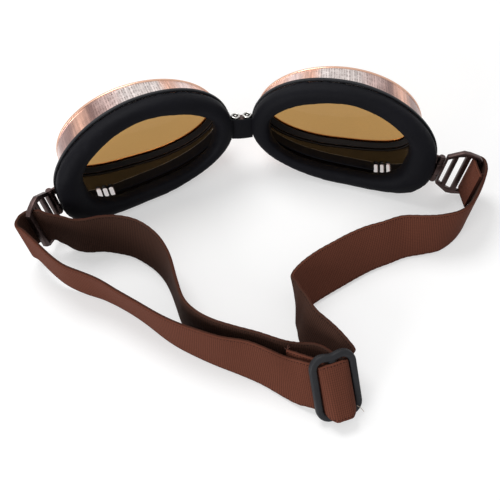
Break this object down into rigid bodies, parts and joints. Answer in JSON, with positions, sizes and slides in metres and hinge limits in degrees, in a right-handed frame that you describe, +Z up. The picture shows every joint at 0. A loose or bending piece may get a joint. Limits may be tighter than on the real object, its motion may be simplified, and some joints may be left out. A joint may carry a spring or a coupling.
{
  "type": "aviator goggles",
  "caption": "Hinged copper eye cups with amber lenses, foam face pads, cast temple brackets and an elastic head strap with a three bar slider.",
  "frame": {"origin": "on the table under the middle of the nose bridge, between the two bridge pins", "axes": "+X towards the wearer's right cup as seen from behind the goggles, +Y out of the lenses, +Z up; the strap lies on its edge towards -Y"},
  "size_m": [0.2157, 0.1617, 0.053],
  "materials": {
    "copper": "antique copper plate, satin",
    "dark_copper": "darkened copper plate, satin",
    "steel": "polished",
    "liner": "gloss",
    "gasket": "satin",
    "lens": "clear amber tint",
    "pad": "smooth knitted cover over foam",
    "webbing": "ribbed elastic",
    "thread": "matt",
    "slider": "matt black"
  },
  "bodies": {
    "bridge": {"bridge_link": "steel", "left_bridge_pin": "steel", "right_bridge_pin": "steel", "nose_strip": "pad", "strap_right": "webbing", "strap_middle": "webbing", "strap_left_front": "webbing", "strap_left_back": "webbing"},
    "left_cup": {"left_cup_frame": "copper", "left_liner": "liner", "left_bezel": "copper", "left_gasket": "gasket", "left_lens": "lens", "left_face_pad": "pad", "left_bracket_pin": "dark_copper"},
    "right_cup": {"right_cup_frame": "copper", "right_liner": "liner", "right_bezel": "copper", "right_gasket": "gasket", "right_lens": "lens", "right_face_pad": "pad", "right_bracket_pin": "dark_copper"},
    "left_bracket_set": {"left_bracket": "dark_copper", "left_strap_loop": "webbing"},
    "right_bracket_set": {"right_bracket": "dark_copper", "right_strap_loop": "webbing", "right_loop_stitch": "thread"},
    "slider_set": {"slider": "slider", "strap_slider_turn": "webbing", "strap_tail": "webbing"}
  },
  "joints": [
    {"name": "left_fold", "type": "hinge", "parent": "bridge", "child": "left_cup", "pos_m": [-0.0028, 0, 0.02844], "axis": [0, 0.1908, 0.9816], "range_deg": [-20, 25], "deforming": ["nose_strip", "strap_right", "strap_middle", "strap_left_front", "strap_left_back", "strap_slider_turn", "strap_tail", "left_strap_loop", "right_strap_loop", "right_loop_stitch"]},
    {"name": "right_fold", "type": "hinge", "parent": "bridge", "child": "right_cup", "pos_m": [0.0028, 0, 0.02844], "axis": [0, 0.1908, 0.9816], "range_deg": [-25, 20], "deforming": ["nose_strip", "strap_right", "strap_middle", "strap_left_front", "strap_left_back", "strap_slider_turn", "strap_tail", "left_strap_loop", "right_strap_loop", "right_loop_stitch"]},
    {"name": "left_bracket_swing", "type": "hinge", "parent": "left_cup", "child": "left_bracket_set", "pos_m": [-0.08871, -0.03188, 0.01587], "axis": [-0.2283, 0.1379, 0.9638], "range_deg": [-88, 32], "deforming": ["strap_right", "strap_middle", "strap_left_front", "strap_left_back", "strap_slider_turn", "strap_tail", "left_strap_loop", "right_strap_loop", "right_loop_stitch"]},
    {"name": "right_bracket_swing", "type": "hinge", "parent": "right_cup", "child": "right_bracket_set", "pos_m": [0.08871, -0.03188, 0.01587], "axis": [0.2283, 0.1379, 0.9638], "range_deg": [-88, 32], "deforming": ["strap_right", "strap_middle", "strap_left_front", "strap_left_back", "strap_slider_turn", "strap_tail", "left_strap_loop", "right_strap_loop", "right_loop_stitch"]},
    {"name": "slider_travel", "type": "slide", "parent": "bridge", "child": "slider_set", "axis": [0.9781, 0.2079, 0], "range_m": [-0.012, 0.008], "deforming": ["strap_right", "strap_middle", "strap_left_front", "strap_left_back", "strap_slider_turn", "strap_tail"]}
  ]
}
